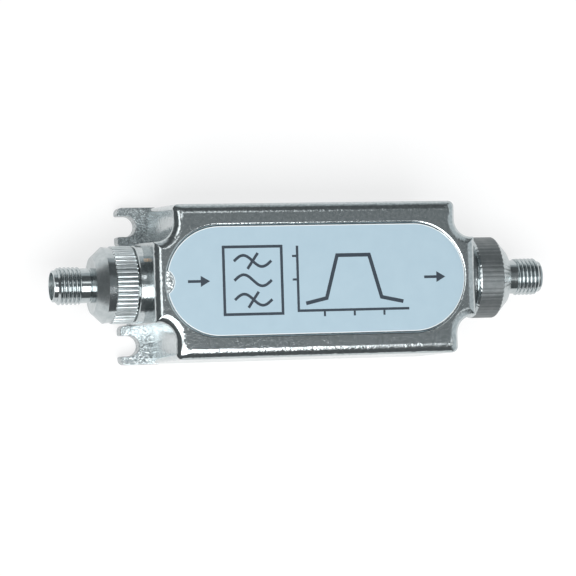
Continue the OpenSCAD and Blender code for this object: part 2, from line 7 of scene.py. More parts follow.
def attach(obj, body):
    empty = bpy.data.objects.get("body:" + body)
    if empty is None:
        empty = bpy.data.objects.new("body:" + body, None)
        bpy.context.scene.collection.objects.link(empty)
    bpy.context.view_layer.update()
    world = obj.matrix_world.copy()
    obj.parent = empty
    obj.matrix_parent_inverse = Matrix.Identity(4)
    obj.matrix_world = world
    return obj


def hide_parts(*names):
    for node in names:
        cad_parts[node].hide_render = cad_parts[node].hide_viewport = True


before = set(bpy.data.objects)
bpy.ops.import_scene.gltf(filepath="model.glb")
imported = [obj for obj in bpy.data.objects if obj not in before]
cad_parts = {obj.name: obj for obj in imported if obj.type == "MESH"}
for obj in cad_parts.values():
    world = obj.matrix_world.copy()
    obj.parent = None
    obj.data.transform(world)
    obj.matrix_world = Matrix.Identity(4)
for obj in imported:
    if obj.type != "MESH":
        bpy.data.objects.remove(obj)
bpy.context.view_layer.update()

# Sizes are in millimetres, as in the part's source. A point is picked when it lies NEAR its place.
MM, NEAR = 0.001, 0.01
HEIGHT = 20.0
# Half lengths and half widths of the box and its necks, measured EDGE_REACH below the top face
BODY_X, BODY_Y = 24.45, 12.8
NECK_X, NECK_Y = 27.85, 6.65
NECK_CORNER_R = 3.0
DRAFT = math.radians(1.3)
# The top edge rolls over by 60 degrees and meets the wall in a crisp line
EDGE_REACH, EDGE_TURN, EDGE_STEPS = 1.7, math.radians(60), 9
EDGE_R = EDGE_REACH / math.sin(EDGE_TURN)
WALL_HEIGHT = HEIGHT - EDGE_R * (1 - math.cos(EDGE_TURN))
BASE_SPREAD = (HEIGHT - EDGE_REACH) * math.tan(DRAFT)
CORNER_R, NECK_EDGE_R = 0.8, 0.3

# The connector axis, and the boss and barrel of each port
AXIS_Z = 10.0
BOSS_R, BOSS_FACE, BOSS_ROOT, BOSS_CHAMFER = 6.5, 29.4, NECK_X - 1.2, 0.12
BARREL_R, BARREL_END, BARREL_CHAMFER = 4.75, 35.4, 0.25
LIP_R, LIP_DEPTH, PORT_R = 2.6, 0.6, 3.2
ROUND_STEPS = 96

# The ears and their open slots
EAR_END, EAR_HEIGHT, EAR_IN, EAR_OUT = 30.015, 2.8, 6.6, 13.3
EAR_CORNER_R, EAR_TIP_R, EAR_EDGE_R, EAR_FOOT_R = 0.9, 0.3, 0.16, 0.5
SLOT_X, SLOT_Y, SLOT_R = 28.515, 10.1, 1.75

# The recess, whose lip is given in (height from the top face, growth) steps, and the label in it
RECESS_X, RECESS_R, RECESS_DEPTH, RECESS_BEVEL = 26.2, 9.4, 0.55, 0.3
RECESS_FLOOR = HEIGHT - RECESS_DEPTH
RECESS_LIP = ((-0.13, -0.15), (-0.085, -0.115), (-0.02, 0.02), (0.005, 0.12), (1, 0.12))
LIP_SHIFT = 0.24
LABEL_TOP, LABEL_X, LABEL_R = RECESS_FLOOR + 0.2, 25.8, 9.0

# The cast pad with its pip that fills the label's notch
PAD_X, PAD_R, PAD_END, PAD_HEIGHT, PAD_EDGE_R = 26.75, 2.1, 24.65, 0.35, 0.12
PIP_X, PIP_R, PIP_FLATTENED = PAD_END + 0.62, 0.45, 0.33

# The cavity with its pockets under the necks, and the rear cover's seat
CAVITY_X, CAVITY_Y, POCKET_X, POCKET_Y, CAVITY_TOP = 22.65, 11.0, 26.05, 4.85, 17.85
COVER_LEDGE, COVER_THICKNESS, SEAT_CORNER_R = 0.8, 0.8, 1.2

# The adapters: the ring's gap to the boss with the shoulder in it, and the gap round the barrel
RING_GAP, SHOULDER, SHOULDER_DROP, BARREL_GAP = 0.2, 0.16, 0.62, 0.08
# The share of a ring's chamfer by which its broken edge drops
EDGE_DROP = 0.4
# Their jacks, from the tip of the cone outwards: a foot with a groove, the thread and a plain pilot
CONE_TIP_R, FOOT_R, FOOT_LENGTH = 4.75, 2.9, 2.1
GROOVE_X, GROOVE_HALF, GROOVE_R = 0.32, 0.15, 2.7
CORE_R, THREAD_LENGTH, PILOT_LENGTH, PILOT_R = 2.72, 3.5, 1.1, 2.65
# Inside: the jack's mouth, the bore for the dielectric and the seat of the bead
MOUTH_R, MOUTH_DEPTH, BORE_R = 2.3, 1.9, 2.1
BEAD_R, BEAD_LENGTH = 2.65, 0.6
# Each flute takes seven steps round the ring: which of them sink, and by what share of the depth
FLUTE_STEPS, FLUTE_SHAPE = 7, (((0, 1), 1), ((2, 6), 0.3), ((3, 5), 0.08))
# One pitch of the jack's thread in (share of the pitch, rise) steps, from its root radius
PITCH, THREAD_ROOT_R, THREAD_TURNS = 0.7056, 2.8, 10
THREAD_SHAPE = ((0.08, 0), (0.12, 0.16), (0.10, 0.11), (0.10, 0.06), (0.12, 0.03),
                (0.12, -0.03), (0.12, -0.06), (0.12, -0.11), (0.12, -0.16))

# The print: height of the ink, height of a stroke over another, height and width of the white edge line,
# which is the film's core with the edge's highlight painted into it
INK, OVER_INK, WHITE_EDGE_HEIGHT, WHITE_EDGE_WIDTH = 0.015, 0.022, 0.012, 0.13


# Tools for working as by hand

def deselect_all():
    bpy.ops.object.select_all(action="DESELECT")


def only(obj):
    deselect_all()
    obj.select_set(True)
    bpy.context.view_layer.objects.active = obj
    return obj


def edit(obj):
    only(obj)
    bpy.ops.object.mode_set(mode="EDIT")


def leave():
    bpy.ops.object.mode_set(mode="OBJECT")


def named(name):
    obj = bpy.context.active_object
    obj.name = name
    obj.data.name = name
    return obj


def apply_place(obj):
    only(obj)
    bpy.ops.object.transform_apply(location=True, rotation=True, scale=True)
    return obj


def apply_modifier(obj, kind, **settings):
    only(obj)
    modifier = obj.modifiers.new(kind.title(), kind)
    for key, value in settings.items():
        setattr(modifier, key, value)
    bpy.ops.object.modifier_apply(modifier=modifier.name)


def combine(obj, operation, *tools, solver="EXACT"):
    """Adds, cuts or intersects with tool pieces, which are then deleted."""
    for tool in tools:
        apply_modifier(obj, "BOOLEAN", operation=operation, solver=solver, object=tool)
        bpy.data.objects.remove(tool)


def join(objects, name):
    deselect_all()
    for obj in objects:
        obj.select_set(True)
    bpy.context.view_layer.objects.active = objects[0]
    bpy.ops.object.join()
    return named(name)


def smooth(obj, weighted):
    only(obj)
    bpy.ops.object.shade_smooth_by_angle(angle=math.radians(24), keep_sharp_edges=False)
    if weighted:
        apply_modifier(obj, "WEIGHTED_NORMAL", keep_sharp=True, weight=80)


# The rest of the tools work on the mesh in edit mode

def select_everything(kind=None):
    if kind:
        bpy.ops.mesh.select_mode(type=kind)
    bpy.ops.mesh.select_all(action="SELECT")


def pick(obj, kind, test):
    """Selects the vertices, edges or faces that pass a test on their places in mm."""
    mesh = bmesh.from_edit_mesh(obj.data)
    bpy.context.tool_settings.mesh_select_mode = (kind == "VERT", kind == "EDGE", kind == "FACE")
    for group in (mesh.verts, mesh.edges, mesh.faces):
        for item in group:
            item.select = False
    for item in {"VERT": mesh.verts, "EDGE": mesh.edges, "FACE": mesh.faces}[kind]:
        if kind == "VERT":
            item.select = bool(test(item.co / MM))
        elif kind == "EDGE":
            item.select = bool(test(item.verts[0].co / MM, item.verts[1].co / MM, item))
        else:
            item.select = bool(test(item.calc_center_median() / MM))
    mesh.select_flush_mode()
    bmesh.update_edit_mesh(obj.data)


def round_off(obj, kind, test, r, segments, **settings):
    """Rounds the vertices or edges that pass a test."""
    pick(obj, kind, test)
    bpy.ops.mesh.bevel(offset=r * MM, segments=segments, affect="VERTICES" if kind == "VERT" else "EDGES",
                       **settings)


def paint(obj, slot, test):
    """Gives the faces that pass a test the material in a slot."""
    pick(obj, "FACE", test)
    obj.active_material_index = slot
    bpy.ops.object.material_slot_assign()


def score(*lines):
    """Cuts new edges across the shape, along each (axis, place)."""
    for axis, place in lines:
        point, normal = Vector(), Vector()
        point[axis], normal[axis] = place * MM, 1
        select_everything()
        bpy.ops.mesh.bisect(plane_co=point, plane_no=normal)


def clear_away(obj, test):
    """Deletes the faces that pass a test, and dissolves the lines that were scored for them."""
    pick(obj, "FACE", test)
    bpy.ops.mesh.delete(type="FACE")
    select_everything()
    bpy.ops.mesh.dissolve_limited(angle_limit=math.radians(1))


def face_outwards():
    select_everything()
    bpy.ops.mesh.normals_make_consistent(inside=False)


def pull(x, y, z):
    """Pulls a flat shape into a solid."""
    select_everything("FACE")
    bpy.ops.mesh.extrude_region_move(TRANSFORM_OT_translate={"value": (x * MM, y * MM, z * MM)})
    face_outwards()


# Simple shapes. Those that say so stay in edit mode.

def sheet(name, x, y, z, half_x, half_y):
    """A flat rectangle. Stays in edit mode."""
    deselect_all()
    bpy.ops.mesh.primitive_plane_add(size=2, location=(x * MM, y * MM, z * MM))
    obj = named(name)
    obj.scale = (half_x * MM, half_y * MM, 1)
    edit(apply_place(obj))
    return obj


def trace(name, x, y, z, moves):
    """A line drawn point by point from its start. Stays in edit mode."""
    deselect_all()
    bpy.ops.mesh.primitive_plane_add(size=MM, location=(x * MM, y * MM, z * MM))
    obj = apply_place(named(name))
    edit(obj)
    select_everything("VERT")
    bpy.ops.mesh.merge(type="CENTER")
    for move in moves:
        bpy.ops.mesh.extrude_vertices_move(TRANSFORM_OT_translate={"value": [v * MM for v in move]})
    return obj


def block(name, low, high):
    low, high = Vector(low) * MM, Vector(high) * MM
    deselect_all()
    bpy.ops.mesh.primitive_cube_add(size=1, location=(low + high) / 2)
    obj = named(name)
    obj.scale = high - low
    return apply_place(obj)


def upright(name, x, y, r, low, high, vertices):
    deselect_all()
    bpy.ops.mesh.primitive_cylinder_add(vertices=vertices, radius=r * MM, depth=(high - low) * MM,
                                        location=(x * MM, y * MM, (low + high) / 2 * MM))
    return apply_place(named(name))


def prism(name, outline, y_low, y_high):
    """A closed outline of (x, z) points, pulled along the width."""
    obj = trace(name, outline[0][0], y_low, outline[0][1],
                [(x1 - x0, 0, z1 - z0) for (x0, z0), (x1, z1) in zip(outline, outline[1:])])
    select_everything()
    bpy.ops.mesh.edge_face_add()
    pull(0, y_high - y_low, 0)
    leave()
    return obj


def turned(name, side, profile, steps):
    """A closed shape turned about the connector axis from (x, radius) points, towards one end of the box."""
    obj = trace(name, side * profile[0][0], 0, AXIS_Z + profile[0][1],
                [(side * x1 - side * x0, 0, r1 - r0) for (x0, r0), (x1, r1) in zip(profile, profile[1:])])
    select_everything()
    bpy.ops.mesh.spin(steps=steps, angle=2 * math.pi, center=(0, 0, AXIS_Z * MM), axis=(1, 0, 0))
    select_everything()
    bpy.ops.mesh.remove_doubles(threshold=0.001 * MM)
    face_outwards()
    leave()
    return obj


def cross(name, z, reach, body_x, body_y, neck_y):
    """A flat rectangle with a neck at each end. Stays in edit mode."""
    obj = sheet(name, 0, 0, z, reach, body_y)
    score((0, body_x), (0, -body_x), (1, neck_y), (1, -neck_y))
    clear_away(obj, lambda c: abs(c.x) > body_x and abs(c.y) > neck_y)
    return obj


def stadium(name, half_length, r, steps):
    """A stadium-shaped cutter that grows in (height, growth) steps above its floor."""
    z, growth = steps[0]
    obj = sheet(name, 0, 0, z, half_length + growth, r + growth)
    round_off(obj, "VERT", lambda v: True, r + growth - 0.001, 32)
    select_everything("FACE")
    bpy.ops.mesh.remove_doubles(threshold=0.01 * MM)
    for (z0, grow0), (z1, grow1) in zip(steps, steps[1:]):
        bpy.ops.mesh.extrude_region_move(TRANSFORM_OT_translate={"value": (0, 0, (z1 - z0) * MM)})
        bpy.ops.transform.resize(
            value=((half_length + grow1) / (half_length + grow0), (r + grow1) / (r + grow0), 1))
    face_outwards()
    leave()
    return obj


# The cast box

def cast_form():
    """A drafted cross, rolled over the top edge, then cut to length by a slab rolled over at both ends."""
    body_x, neck_y = BODY_X + BASE_SPREAD, NECK_Y + BASE_SPREAD
    # The necks start too long, and the slab, which is wider than the box, cuts them
    long_x, slab_y = NECK_X + 8, 15
    obj = cross("cast_box", 0, long_x, body_x, BODY_Y + BASE_SPREAD, neck_y)
    round_off(obj, "VERT", lambda v: abs(abs(v.x) - body_x) < NEAR and abs(abs(v.y) - neck_y) < NEAR,
              NECK_CORNER_R - BASE_SPREAD, 14)
    select_everything("FACE")
    bpy.ops.mesh.inset(thickness=WALL_HEIGHT * math.tan(DRAFT) * MM, depth=WALL_HEIGHT * MM)
    turns = [EDGE_TURN * (1 - k / EDGE_STEPS) for k in range(EDGE_STEPS + 1)]
    for a, b in zip(turns, turns[1:]):
        bpy.ops.mesh.inset(thickness=EDGE_R * (math.sin(a) - math.sin(b)) * MM,
                           depth=EDGE_R * (math.cos(b) - math.cos(a)) * MM)
    pick(obj, "EDGE", lambda a, b, e: a.z < NEAR and b.z < NEAR)
    bpy.ops.mesh.edge_face_add()
    face_outwards()
    leave()

    end_x = NECK_X + BASE_SPREAD - WALL_HEIGHT * math.tan(DRAFT)
    half = [(NECK_X + BASE_SPREAD, 0)] + [
        (end_x - EDGE_R * (math.sin(EDGE_TURN) - math.sin(a)), HEIGHT - EDGE_R * (1 - math.cos(a)))
        for a in turns]
    combine(obj, "INTERSECT", prism("slab", half + [(-x, z) for x, z in reversed(half)], -slab_y, slab_y))
    edit(obj)
    select_everything()
    bpy.ops.mesh.remove_doubles(threshold=0.04 * MM)
    # The four corners of the box, which lie out past corner_y, then the edges of the necks
    corner_y = 10.5
    for corner_r, outer in ((CORNER_R, True), (NECK_EDGE_R, False)):
        round_off(obj, "EDGE", lambda a, b, e: abs(a.z - b.z) > 0.02 and (abs(a.y) > corner_y) == outer
                  and len(e.link_faces) == 2 and e.calc_face_angle() > math.radians(25),
                  corner_r, 5, clamp_overlap=True)
    leave()
    return obj


def ear(side):
    """One mounting ear: a plate with rounded tips, and an open slot that ends in a half circle."""
    root_x, slot_x = -BODY_X + 1, -SLOT_X + SLOT_R
    slot_low, slot_high = SLOT_Y - SLOT_R, SLOT_Y + SLOT_R
    plate = sheet("ear", (root_x - EAR_END) / 2, side * (EAR_IN + EAR_OUT) / 2, 0,
                  (EAR_END + root_x) / 2, (EAR_OUT - EAR_IN) / 2)
    score((0, slot_x), (1, side * slot_low), (1, side * slot_high))
    clear_away(plate, lambda c: c.x < slot_x and abs(abs(c.y) - SLOT_Y) < 0.5)
    round_off(plate, "VERT", lambda v: abs(v.x - slot_x) < NEAR and abs(abs(v.y) - SLOT_Y) < SLOT_R + NEAR,
              SLOT_R - 0.002, 12)
    # The outer corners of the tips, then those at the slot's mouth
    for corner_r, far in ((EAR_CORNER_R, True), (EAR_TIP_R, False)):
        round_off(plate, "VERT", lambda v: v.x < -EAR_END + NEAR
                  and (abs(abs(v.y) - SLOT_Y) > SLOT_R + NEAR) == far
                  and min(abs(abs(v.y) - y) for y in (EAR_IN, EAR_OUT, slot_low, slot_high)) < NEAR,
                  corner_r, 7)
    pull(0, 0, EAR_HEIGHT)
    round_off(plate, "EDGE", lambda a, b, e: min(a.z, b.z) > EAR_HEIGHT - NEAR
              and min(a.x, b.x) < root_x - NEAR, EAR_EDGE_R, 3)
    leave()
    return plate


def recess_cutter():
    """The recess with its rolled lip, which stands closer to the label at the output end."""
    recess = stadium("recess", RECESS_X, RECESS_R, [(RECESS_FLOOR, -RECESS_BEVEL)] + [
        (HEIGHT + z, growth) for z, growth in RECESS_LIP])
    edit(recess)
    pick(recess, "VERT", lambda v: v.x > 10 and v.z > RECESS_FLOOR + 0.1)
    bpy.ops.transform.translate(value=(-LIP_SHIFT * MM, 0, 0))
    select_everything()
    bpy.ops.mesh.quads_convert_to_tris()
    leave()
    return recess


def cast_pad():
    """The pad that fills the label's notch, cut off just inside the wall of the recess."""
    pad = upright("pad", -PAD_X, 0, PAD_R, RECESS_FLOOR - 0.3, RECESS_FLOOR + PAD_HEIGHT, 48)
    edit(pad)
    round_off(pad, "EDGE", lambda a, b, e: min(a.z, b.z) > RECESS_FLOOR, PAD_EDGE_R, 3)
    leave()
    combine(pad, "INTERSECT", block("keep", (-RECESS_X + 0.12, -3, HEIGHT - 2), (-20, 3, HEIGHT + 1)))
    return pad


def cast_pip():
    """A flattened ball on the pad."""
    deselect_all()
    bpy.ops.mesh.primitive_uv_sphere_add(segments=24, ring_count=12, radius=PIP_R * MM,
                                         location=(-PIP_X * MM, 0, (RECESS_FLOOR + PAD_HEIGHT) * MM))
    pip = named("pip")
    pip.scale = (1, 1, PIP_FLATTENED)
    return apply_place(pip)


def boss(side):
    """The boss on a neck, with its hollow barrel and the lip at the barrel's mouth."""
    return turned("boss", side, (
        (BOSS_ROOT, 3.6), (BOSS_ROOT, BOSS_R), (BOSS_FACE - BOSS_CHAMFER, BOSS_R),
        (BOSS_FACE, BOSS_R - BOSS_CHAMFER), (BOSS_FACE, BARREL_R),
        (BARREL_END - BARREL_CHAMFER, BARREL_R), (BARREL_END, BARREL_R - BARREL_CHAMFER),
        (BARREL_END, LIP_R), (BARREL_END - LIP_DEPTH, LIP_R), (BARREL_END - LIP_DEPTH, PORT_R),
        (BOSS_ROOT, PORT_R), (BOSS_ROOT, 3.6)), ROUND_STEPS)


def cavity_cutter():
    """The hollow of the box, with a pocket under each neck."""
    cavity = cross("cavity", 0, POCKET_X, CAVITY_X, CAVITY_Y, POCKET_Y)
    pull(0, 0, CAVITY_TOP)
    leave()
    return cavity


def seat_cutter():
    """The rebate for the rear cover, one ledge wider than the cavity."""
    below = 1
    seat = cross("seat", -below, POCKET_X + COVER_LEDGE, CAVITY_X + COVER_LEDGE, CAVITY_Y + COVER_LEDGE,
                 POCKET_Y + COVER_LEDGE)
    round_off(seat, "VERT", lambda v: abs(v.y) > POCKET_Y + COVER_LEDGE + 0.1, SEAT_CORNER_R, 8)
    pull(0, 0, below + COVER_THICKNESS)
    leave()
    return seat


def bore_cutter(side):
    """From a port into the cavity, a hair narrower than the port, so that their walls don't coincide."""
    near, far, r = CAVITY_X - 1, NECK_X + 0.6, PORT_R - 0.01
    if side < 0:
        near, far = far, near
    return turned("bore", side, ((near, 0), (near, r), (far, r), (far, 0)), ROUND_STEPS)


def cast_box():
    """The box with its recess, ears and ports, hollow from below."""
    obj = cast_form()
    combine(obj, "DIFFERENCE", recess_cutter())
    combine(obj, "UNION", cast_pad(), cast_pip(), ear(-1), ear(1))
    # A fillet where the ears meet the box
    edit(obj)
    round_off(obj, "EDGE", lambda a, b, e: abs(a.z - EAR_HEIGHT) < NEAR and abs(b.z - EAR_HEIGHT) < NEAR
              and min(a.x, b.x) > -NECK_X - 0.6 and len(e.link_faces) == 2
              and e.calc_face_angle() > math.radians(60), EAR_FOOT_R, 5, clamp_overlap=True)
    leave()
    for side in (-1, 1):
        combine(obj, "UNION", boss(side))
    combine(obj, "DIFFERENCE", cavity_cutter(), seat_cutter())
    for side in (-1, 1):
        combine(obj, "DIFFERENCE", bore_cutter(side))
    smooth(obj, True)
    return obj


# The adapters

def jack_thread(side, start, end):
    """One pitch of outline, screwed along the axis, then trimmed to the turned envelope of the jack."""
    ridge = trace("ridge", start - 2.3 * PITCH, 0, THREAD_ROOT_R,
                  [(share * PITCH, 0, rise) for share, rise in THREAD_SHAPE])
    leave()
    apply_modifier(ridge, "SCREW", axis="X", angle=2 * math.pi, screw_offset=PITCH * MM,
                   iterations=THREAD_TURNS, steps=72, render_steps=72, use_merge_vertices=True,
                   merge_threshold=0.001 * MM)
    ridge.location = (0, 0, AXIS_Z * MM)
    apply_place(ridge)
    edit(ridge)
    select_everything()
    bpy.ops.mesh.remove_doubles(threshold=0.002 * MM)
    for x, outer in ((start - 0.5, -1), (end + 0.5, 1)):
        select_everything()
        bpy.ops.mesh.bisect(plane_co=(x * MM, 0, 0), plane_no=(outer, 0, 0), use_fill=True,
                            clear_outer=True, threshold=0.0001 * MM)
    face_outwards()
    if side < 0:
        bpy.ops.transform.rotate(value=math.pi, orient_axis="Z", center_override=(0, 0, AXIS_Z * MM))
    leave()
    inner_r, clear_r, first_r, last_r = 2.5, 3.25, 2.98, 2.85
    combine(ridge, "INTERSECT", turned("envelope", side, (
        (start, inner_r), (start, first_r), (start + 0.18, clear_r), (end - 0.4, clear_r), (end, last_r),
        (end, inner_r), (start, inner_r)), ROUND_STEPS), solver="MANIFOLD")
    return ridge


def ring_profile(start, knurl_end, cone_start, ring_r, band_r, depth, chamfer):
    """From the shoulder in the gap over the ring, and over its plain band where it has one."""
    profile = [
        (start - SHOULDER, BARREL_R + BARREL_GAP), (start - SHOULDER, ring_r - SHOULDER_DROP),
        (start, ring_r - SHOULDER_DROP), (start, ring_r - 0.2 - EDGE_DROP * chamfer),
        (start + 0.07, ring_r - 0.08 - EDGE_DROP * chamfer), (start + chamfer, ring_r - 0.04),
        (start + chamfer + 0.08, ring_r)]
    if cone_start > knurl_end:
        return profile + [(knurl_end, ring_r), (knurl_end + 0.14, band_r - 0.12), (cone_start, band_r)]
    return profile + [(knurl_end - 0.05, ring_r), (knurl_end + 0.1, ring_r - 0.09),
                      (knurl_end + depth + 0.1, ring_r - depth - 0.1)]


def jack_profile(cone_end, thread, pilot, end):
    """From the tip of the cone over the jack, in at its mouth, and back to the barrel's end."""
    groove = cone_end + GROOVE_X
    return [
        (cone_end, CONE_TIP_R), (cone_end, FOOT_R), (groove, FOOT_R), (groove + GROOVE_HALF, GROOVE_R),
        (groove + 2 * GROOVE_HALF, FOOT_R), (thread + 0.06, FOOT_R), (thread + 0.06, CORE_R),
        (pilot + 0.3, CORE_R), (pilot + 0.3, PILOT_R), (end - 0.2, PILOT_R), (end - 0.06, PILOT_R - 0.06),
        (end, PILOT_R - 0.2), (end, MOUTH_R), (end - MOUTH_DEPTH, MOUTH_R), (end - MOUTH_DEPTH, BORE_R),
        (BARREL_END + BEAD_LENGTH, BORE_R), (BARREL_END + BEAD_LENGTH, BEAD_R), (BARREL_END, BEAD_R),
        (BARREL_END, BARREL_R + BARREL_GAP)]


def axis_distance(v):
    return math.hypot(v.y, v.z - AXIS_Z)


def press_flutes(obj, side, first, last, ring_r, lowest_r, steps, depth):
    """Pushes the flutes into the ring, from a surface of even steps round it."""
    def step(v):
        return round(math.atan2(v.y, v.z - AXIS_Z) / (2 * math.pi) * steps) % FLUTE_STEPS

    edit(obj)
    for places, share in FLUTE_SHAPE:
        pick(obj, "VERT", lambda v: first < side * v.x < last and step(v) in places
             and axis_distance(v) > lowest_r)
        shrink = 1 - share * depth / ring_r
        bpy.ops.transform.resize(value=(1, shrink, shrink), center_override=(0, 0, AXIS_Z * MM))
    leave()


def finish_faces(obj, finishes, side, zones):
    """The first finish all over, then each other one in its zone of (low r, high r, low x, high x)."""
    obj.data.materials.clear()
    for finish in finishes:
        obj.data.materials.append(finish)
    edit(obj)
    for slot, (low_r, high_r, low_x, high_x) in enumerate(zones, 1):
        paint(obj, slot, lambda c: low_x < side * c.x < high_x and low_r < axis_distance(c) < high_r)
    leave()


def knurled_shell(name, finishes, side, ring_r, knurl, band, band_r, cone, flutes, depth, chamfer):
    """A turned shell from the boss outwards: knurled ring, plain band, cone and threaded jack.

    The ring and the band are given by length and radius, the cone by length, the flutes by number and
    depth. The finishes are those of the body, the crests and floors of the flutes, the cone, and the
    bore of the jack. Those passed in for the crests, the floors and the bore are copies of the nickel,
    painted lighter for highlight and darker for shade.
    """
    start = BOSS_FACE + RING_GAP
    knurl_end = start + knurl
    cone_start = knurl_end + band
    cone_end = cone_start + cone
    thread = cone_end + FOOT_LENGTH
    pilot = thread + THREAD_LENGTH
    end = pilot + PILOT_LENGTH
    profile = (ring_profile(start, knurl_end, cone_start, ring_r, band_r, depth, chamfer)
               + jack_profile(cone_end, thread, pilot, end))
    steps = flutes * FLUTE_STEPS
    obj = turned(name, side, profile + profile[:1], steps)
    press_flutes(obj, side, start + chamfer - 0.05, knurl_end + (0.02 if band else 0.12), ring_r,
                 ring_r - 0.12 - EDGE_DROP * chamfer, steps, depth)
    combine(obj, "UNION", jack_thread(side, thread, pilot + 0.4), solver="MANIFOLD")
    smooth(obj, False)
    floor_r = ring_r - 0.8 * depth
    finish_faces(obj, finishes, side, (
        (floor_r, ring_r + 1, start + 0.5, knurl_end + 0.1),
        (ring_r - 2 * depth, floor_r, start + 0.5, knurl_end + 0.1),
        (3.0, band_r + 1, max(cone_start - 0.15, knurl_end + 0.1), cone_end + NEAR),
        (BORE_R - 0.1, MOUTH_R + 0.1, pilot, end)))
    return obj


# The label's print and its edge

def stroke(points, width, height=INK):
    """A flat bar of ink along a path, as an upright ribbon that is given its width."""
    obj = trace("stroke", *points[0], LABEL_TOP,
                [(x1 - x0, y1 - y0, 0) for (x0, y0), (x1, y1) in zip(points, points[1:])])
    select_everything()
    bpy.ops.mesh.remove_doubles(threshold=0.0005 * MM)
    bpy.ops.mesh.extrude_edges_move(TRANSFORM_OT_translate={"value": (0, 0, height * MM)})
    leave()
    apply_modifier(obj, "SOLIDIFY", thickness=width * MM, offset=0, use_even_offset=True)
    edit(obj)
    face_outwards()
    leave()
    return obj


def outline(shape, width, height):
    """Cuts a flat shape down to a raised band just inside its outline. Starts in edit mode and leaves it."""
    select_everything("FACE")
    bpy.ops.mesh.inset(thickness=width * MM)
    bpy.ops.mesh.delete(type="FACE")
    pull(0, 0, height)
    leave()
    return shape


def label_edge():
    """A white hairline along the label's cut edge and round the notch: the film's white core, with the edge's
    highlight painted into it.
    """
    notch_r = PAD_R + 0.1 + WHITE_EDGE_WIDTH
    rim = stadium("rim", LABEL_X, LABEL_R, [(LABEL_TOP, 0)])
    edit(rim)
    outline(rim, WHITE_EDGE_WIDTH, WHITE_EDGE_HEIGHT)
    combine(rim, "DIFFERENCE", upright("notch", -PAD_X, 0, notch_r, LABEL_TOP - 1, LABEL_TOP + 1,
                                       ROUND_STEPS))
    deselect_all()
    bpy.ops.mesh.primitive_circle_add(vertices=ROUND_STEPS, radius=notch_r * MM, fill_type="NGON",
                                      location=(-PAD_X * MM, 0, LABEL_TOP * MM))
    arc = apply_place(named("arc"))
    edit(arc)
    outline(arc, WHITE_EDGE_WIDTH, WHITE_EDGE_HEIGHT)
    combine(arc, "INTERSECT", stadium("inside", LABEL_X, LABEL_R, [(LABEL_TOP - 1, 0), (LABEL_TOP + 1, 0)]))
    return join([rim, arc], "label_edge")


def label_print():
    """An arrow at each end, a response curve and a filter symbol, as thin ink on the label."""
    marks = []
    for x in (-22.3, 18.6):
        marks.append(stroke([(x, 0), (x + 2.17, 0)], 0.45))
        deselect_all()
        bpy.ops.mesh.primitive_cylinder_add(vertices=3, radius=1.05 * MM, depth=INK * MM,
                                            location=((x + 2.7) * MM, 0, (LABEL_TOP + INK / 2) * MM),
                                            rotation=(0, 0, -math.pi / 2))
        marks.append(apply_place(named("arrow")))
    # The response curve over its two axes, with ticks
    left, foot, level, thin = -3.5, -5.2, 3.9, 0.36
    marks.append(stroke([(left, 5.6), (left, foot), (15.8, foot)], 0.42))
    marks.append(stroke([(-2.2, -4.0), (1.4, -3.2), (3.4, level), (9.0, level), (11.0, -3.2), (14.8, -4.0)],
                        0.62))
    for x in (1.0, 6.2, 11.4):
        marks.append(stroke([(x, foot - 0.22), (x, foot - 1)], thin))
    for y in (level, 0.0):
        marks.append(stroke([(left - 0.22, y), (left - 0.9, y)], thin))
    # Three waves in a frame, the upper and lower ones struck out
    centre, reach, bold = -11.2, 3.2, 0.46
    marks.append(outline(sheet("frame", centre, 0, LABEL_TOP, 5.2, 5.8), bold, INK))
    for y in (-3.2, 0.0, 3.2):
        marks.append(stroke([(centre + reach * t / 10, y - 0.95 * math.sin(math.pi * t / 10))
                             for t in range(-10, 11)], bold))
    for y in (-3.2, 3.2):
        marks.append(stroke([(centre - 0.9, y - 1.3), (centre + 0.9, y + 1.3)], bold, OVER_INK))
    return join(marks, "label_print")


# Materials, whose helpers take an output to link or a plain value

def material(name, roughness, metallic=0.0):
    mat = bpy.data.materials.new(name)
    mat.use_nodes = True
    shader = mat.node_tree.nodes["Principled BSDF"]
    shader.inputs["Roughness"].default_value = roughness
    shader.inputs["Metallic"].default_value = metallic
    return mat, mat.node_tree, shader


def add(tree, kind, inputs=None, **settings):
    """Adds a node with its settings, then links or sets its inputs, which are named or numbered."""
    node = tree.nodes.new(kind)
    for key, value in settings.items():
        setattr(node, key, value)
    for key, value in (inputs or {}).items():
        if isinstance(value, bpy.types.NodeSocket):
            tree.links.new(value, node.inputs[key])
        else:
            node.inputs[key].default_value = value
    return node


def object_place(tree):
    return add(tree, "ShaderNodeTexCoord").outputs["Object"]


def calculate(tree, operation, a, b, label):
    return add(tree, "ShaderNodeMath", {0: a, 1: b}, operation=operation, label=label).outputs["Value"]


def mapped(tree, source, from_low, from_high, to_low, to_high, label):
    """Follows a value with a soft step from one level to another."""
    return add(tree, "ShaderNodeMapRange",
               {"Value": source, "From Min": from_low, "From Max": from_high, "To Min": to_low,
                "To Max": to_high}, interpolation_type="SMOOTHSTEP", label=label).outputs["Result"]


def noise(tree, place, scale, detail, roughness=0.5, label=""):
    return add(tree, "ShaderNodeTexNoise", {"Vector": place, "Scale": scale, "Detail": detail,
                                            "Roughness": roughness}, label=label).outputs["Fac"]


def two_tone(tree, source, low, high, dark, light):
    """Turns a value into a colour between two, which it reaches at the low and the high value."""
    ramp = add(tree, "ShaderNodeValToRGB", {"Fac": source})
    for stop, position, colour in zip(ramp.color_ramp.elements, (low, high), (dark, light)):
        stop.position, stop.color = position, (*colour, 1)
    return ramp.outputs["Color"]


def bump(tree, height, strength, distance, label=""):
    return add(tree, "ShaderNodeBump", {"Height": height, "Strength": strength, "Distance": distance},
               label=label)


